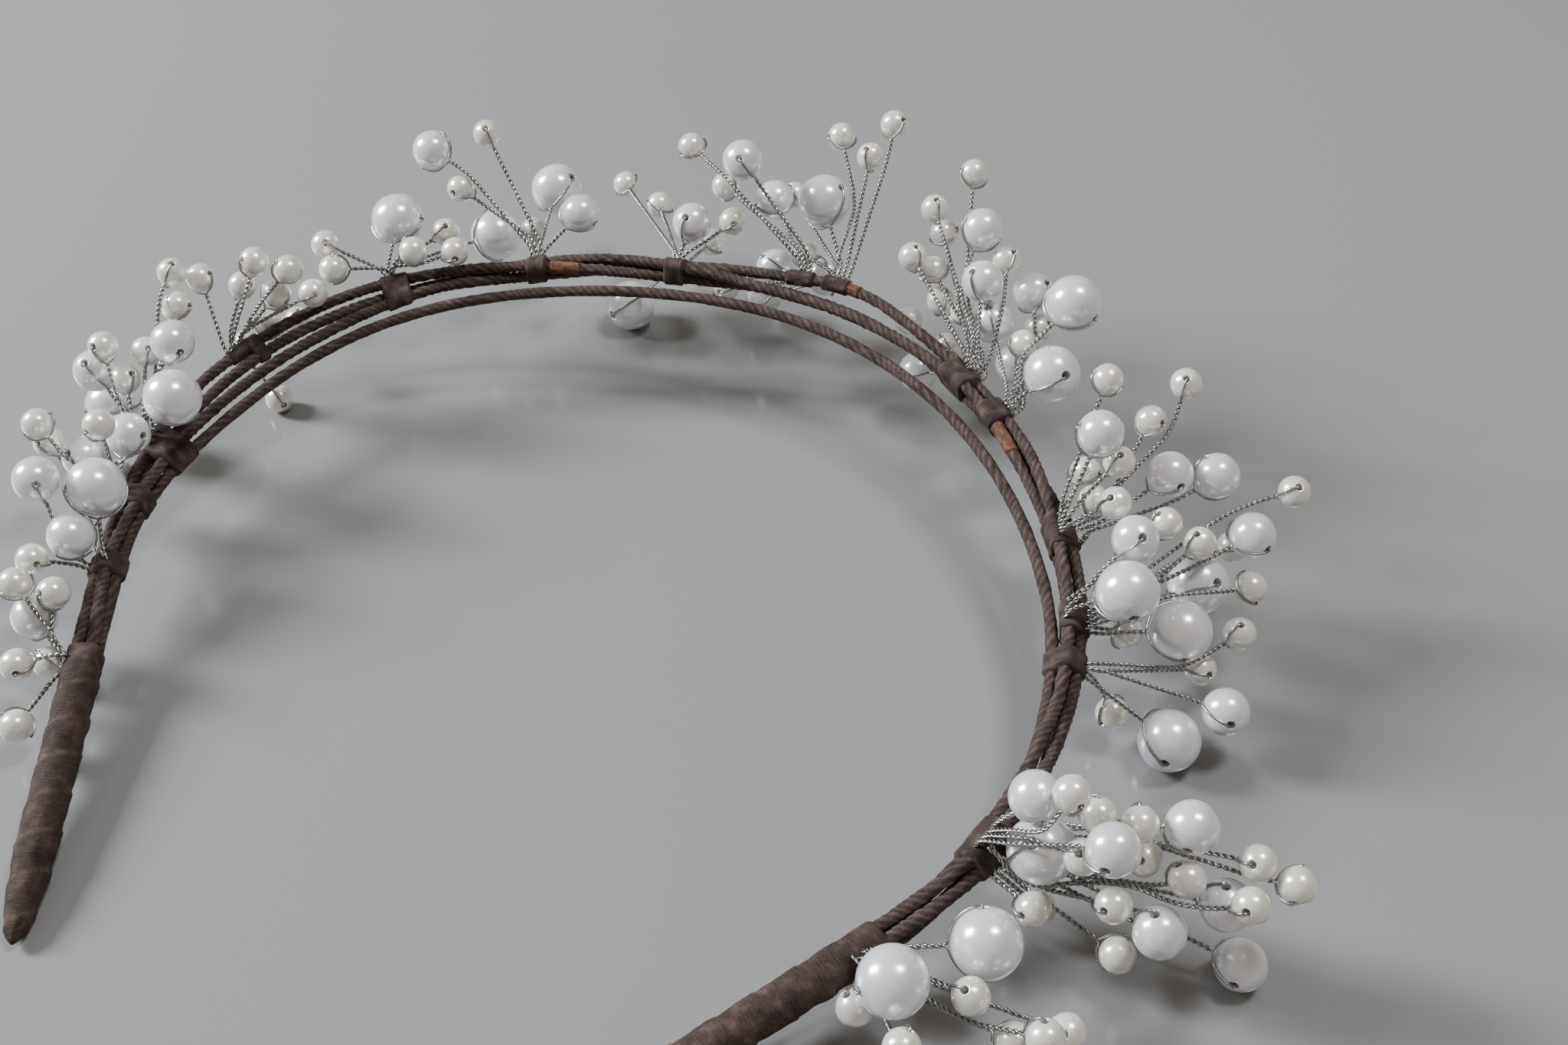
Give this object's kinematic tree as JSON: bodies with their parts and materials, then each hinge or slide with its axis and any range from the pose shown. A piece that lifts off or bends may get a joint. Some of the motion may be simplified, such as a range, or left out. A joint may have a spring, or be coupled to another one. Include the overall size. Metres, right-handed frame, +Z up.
{
  "type": "bridal tiara",
  "caption": "U-shaped bridal headband of paper-wrapped wires twisted together, with sprays of imitation pearls on twisted craft wire; worn across the crown of the head.",
  "frame": {"origin": "on the table the tiara rests on, in the middle of the opening for the head", "axes": "+Z up from the table; +Y towards the middle of the band; +X towards its right-hand end, seen from above with the middle of the band at the back"},
  "size_m": [0.1725, 0.1478, 0.0354],
  "materials": {
    "paper_wrap": "matt crepe-paper florist's tape, dark brown",
    "end_wrap": "matt crepe-paper florist's tape, dark brown",
    "tape_end": "matt crepe-paper florist's tape, reddish brown",
    "core_wire": "plain drawn wire",
    "craft_wire": "bright drawn craft wire",
    "pearl_ivory": "pearlescent lacquer, ivory",
    "pearl_white": "pearlescent lacquer, cool white"
  },
  "bodies": {
    "root": {"strand_1_core": "core_wire", "strand_1_wrap": "paper_wrap", "strand_2_core": "core_wire", "strand_2_wrap": "paper_wrap", "strand_3_core": "core_wire", "strand_3_wrap": "paper_wrap", "strand_4_core": "core_wire", "strand_4_wrap": "paper_wrap", "end_wrap_left": "end_wrap", "end_wrap_right": "end_wrap", "tape_ends": "tape_end", "spray_01_wire": "craft_wire", "spray_02_wire": "craft_wire", "spray_03_wire": "craft_wire", "spray_04_wire": "craft_wire", "spray_05_wire": "craft_wire", "spray_06_wire": "craft_wire", "spray_07_wire": "craft_wire", "spray_08_wire": "craft_wire", "spray_09_wire": "craft_wire", "spray_10_wire": "craft_wire", "spray_11_wire": "craft_wire", "spray_12_wire": "craft_wire", "spray_13_wire": "craft_wire", "spray_14_wire": "craft_wire", "spray_15_wire": "craft_wire", "spray_16_wire": "craft_wire", "spray_17_wire": "craft_wire", "pearls_large_crown": "pearl_white", "pearls_large_left": "pearl_white", "pearls_large_right": "pearl_white", "pearls_medium_crown": "pearl_white", "pearls_medium_left": "pearl_white", "pearls_medium_right": "pearl_white", "pearls_small_crown": "pearl_ivory", "pearls_small_left": "pearl_ivory", "pearls_small_right": "pearl_ivory"}
  },
  "joints": []
}
